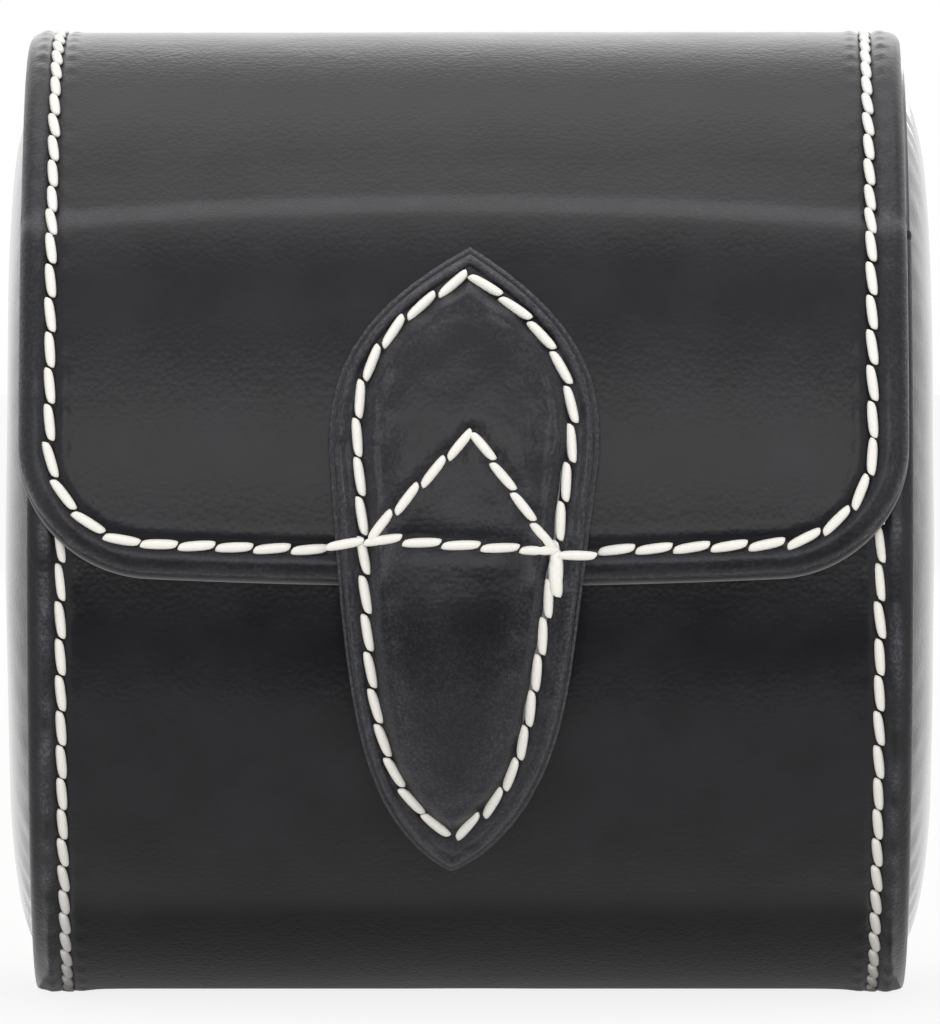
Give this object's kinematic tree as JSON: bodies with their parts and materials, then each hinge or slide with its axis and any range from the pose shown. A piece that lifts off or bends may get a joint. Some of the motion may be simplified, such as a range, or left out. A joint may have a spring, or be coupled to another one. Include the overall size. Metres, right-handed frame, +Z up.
{
  "type": "watch travel case",
  "caption": "Round leather travel case on its side, for one watch: a padded drum with a wrap-over stitched flap, a magnetic closing tab and a loose cushion.",
  "frame": {"origin": "on the floor below the drum's axis, in the middle of its width", "axes": "+X along the drum to the right, -Y the front with the tab, +Z up"},
  "size_m": [0.091, 0.1007, 0.0952],
  "materials": {
    "leather": "smooth semi-matt calf, black",
    "suede": "short-nap charcoal microsuede",
    "board": "grey bookbinding board",
    "foam": "open-cell foam",
    "thread": "waxed cream thread",
    "steel": "plain",
    "magnet": "nickel plated"
  },
  "bodies": {
    "case": {"drum_board": "board", "drum_padding": "foam", "drum_lining": "suede", "body_wrap": "leather", "mouth_edging": "leather", "end_board_left": "board", "end_board_right": "board", "end_padding_left": "foam", "end_padding_right": "foam", "end_panel_left": "leather", "end_panel_right": "leather", "end_lining_left": "suede", "end_lining_right": "suede", "body_seam_thread": "thread", "catch_plate": "steel"},
    "flap": {"flap_leather": "leather", "flap_board": "board", "flap_lining": "suede", "flap_seam_thread": "thread", "tab_leather_upper": "leather", "tab_padding_upper": "foam", "tab_backing_upper": "leather", "tab_seam_thread_upper": "thread"},
    "tongue": {"tongue_leather": "leather", "tongue_padding": "foam", "tongue_backing": "leather", "tongue_seam_thread": "thread", "catch_magnet": "magnet"},
    "cushion": {"cushion_core": "foam", "cushion_cover": "suede", "cushion_end_left": "suede", "cushion_end_right": "suede"}
  },
  "joints": [
    {"name": "flap_hinge", "type": "hinge", "parent": "case", "child": "flap", "pos_m": [0, 0.03345, 0.07995], "axis": [-1, 0, 0], "range_deg": [0, 130]},
    {"name": "tongue_bend", "type": "hinge", "parent": "flap", "child": "tongue", "pos_m": [0, -0.05307, 0.04155], "axis": [-1, 0, 0], "range_deg": [0, 35], "stiffness_Nm_per_rad": 0.002, "springref_deg": -11.46},
    {"name": "cushion_lift", "type": "slide", "parent": "case", "child": "cushion", "axis": [0, 0, 1], "range_m": [0, 0.032]}
  ]
}
